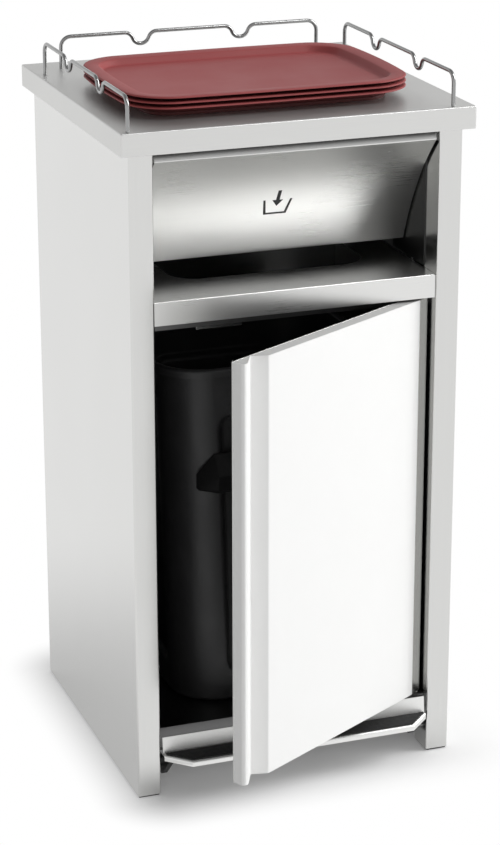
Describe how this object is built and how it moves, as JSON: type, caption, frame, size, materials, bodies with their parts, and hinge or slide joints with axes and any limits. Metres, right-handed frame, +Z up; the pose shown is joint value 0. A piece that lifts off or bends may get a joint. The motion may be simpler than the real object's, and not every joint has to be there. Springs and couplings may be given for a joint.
{
  "type": "waste station",
  "caption": "Stainless self-service waste station: pedal-opened push flap, hinged door over a lift-out bin, and wire guards round a worktop with stacked serving trays.",
  "frame": {"origin": "floor level, centre of the box round the station with its door ajar", "axes": "+X to the right of someone who faces the flap, +Y to the back, +Z up"},
  "size_m": [0.55, 0.7128, 1.1045],
  "materials": {
    "stainless_sheet": "brushed",
    "stainless_inner": "brushed",
    "door_sheet": "satin",
    "chrome_wire": "polished",
    "rubber": "matte",
    "black_paint": "satin",
    "nylon": "matte",
    "white_nylon": "matte",
    "bin_plastic": "matte",
    "tray_resin": "satin"
  },
  "bodies": {
    "cabinet": {"left_side_panel": "stainless_sheet", "right_side_panel": "stainless_sheet", "back_panel": "stainless_sheet", "back_screw_left_1": "chrome_wire", "back_screw_left_2": "chrome_wire", "back_screw_left_3": "chrome_wire", "back_screw_right_1": "chrome_wire", "back_screw_right_2": "chrome_wire", "back_screw_right_3": "chrome_wire", "base_panel": "stainless_inner", "front_left_foot": "nylon", "front_right_foot": "nylon", "back_left_foot": "nylon", "back_right_foot": "nylon", "worktop": "stainless_sheet", "sill": "stainless_sheet", "door_stop_rail": "stainless_inner", "magnetic_catch": "chrome_wire", "left_chute_cheek": "stainless_inner", "right_chute_cheek": "stainless_inner", "left_flap_bearing": "nylon", "right_flap_bearing": "nylon", "lower_rod_guide": "nylon", "upper_rod_guide": "nylon", "left_pedal_pin": "chrome_wire", "right_pedal_pin": "chrome_wire", "top_pivot_bush": "white_nylon", "foot_pivot_bush": "white_nylon", "foot_pivot_bracket": "stainless_inner", "left_tray_guard": "chrome_wire", "right_tray_guard": "chrome_wire", "back_tray_guard": "chrome_wire"},
    "door": {"door_skin": "door_sheet", "door_liner": "stainless_sheet", "door_top_cap": "stainless_sheet", "door_foot_cap": "stainless_sheet", "door_top_pin": "chrome_wire", "door_foot_pin": "chrome_wire", "door_keeper": "chrome_wire"},
    "flap": {"flap": "stainless_sheet", "left_flap_arm": "stainless_inner", "right_flap_arm": "stainless_inner", "left_flap_pin": "chrome_wire", "right_flap_pin": "chrome_wire", "flap_crank": "chrome_wire"},
    "push_rod": {"push_rod": "chrome_wire"},
    "pedal": {"pedal_plate": "stainless_sheet", "pedal_mat": "rubber", "left_pedal_arm": "black_paint", "right_pedal_arm": "black_paint", "balance_bar": "stainless_inner"},
    "bin": {"bin_shell": "bin_plastic", "bin_handle": "bin_plastic"},
    "tray_1": {"tray_1": "tray_resin"},
    "tray_2": {"tray_2": "tray_resin"},
    "tray_3": {"tray_3": "tray_resin"}
  },
  "joints": [
    {"name": "door_swing", "type": "hinge", "parent": "cabinet", "child": "door", "pos_m": [0.211, -0.1346, 0.425], "axis": [0, 0, 1], "range_deg": [-30, 60]},
    {"name": "pedal_press", "type": "hinge", "parent": "cabinet", "child": "pedal", "pos_m": [0, -0.1276, 0.032], "axis": [1, 0, 0], "range_deg": [0, 15]},
    {"name": "rod_lift", "type": "slide", "parent": "cabinet", "child": "push_rod", "axis": [0, 0, 1], "range_m": [0, 0.0186]},
    {"name": "flap_swing", "type": "hinge", "parent": "cabinet", "child": "flap", "pos_m": [0, -0.0971, 0.975], "axis": [1, 0, 0], "range_deg": [0, 28]},
    {"name": "bin_slide", "type": "slide", "parent": "cabinet", "child": "bin", "axis": [0, -1, 0], "range_m": [0, 0.05]},
    {"name": "tray_1_lift", "type": "slide", "parent": "cabinet", "child": "tray_1", "axis": [0, 0, 1], "range_m": [0, 0.25]},
    {"name": "tray_2_lift", "type": "slide", "parent": "tray_1", "child": "tray_2", "axis": [0, 0, 1], "range_m": [0, 0.25]},
    {"name": "tray_3_lift", "type": "slide", "parent": "tray_2", "child": "tray_3", "axis": [0, 0, 1], "range_m": [0, 0.25]}
  ],
  "couplings": [
    {"joint": "rod_lift", "follows": "pedal_press", "m_per_rad": 0.0705},
    {"joint": "flap_swing", "follows": "pedal_press", "ratio": 1.85}
  ]
}
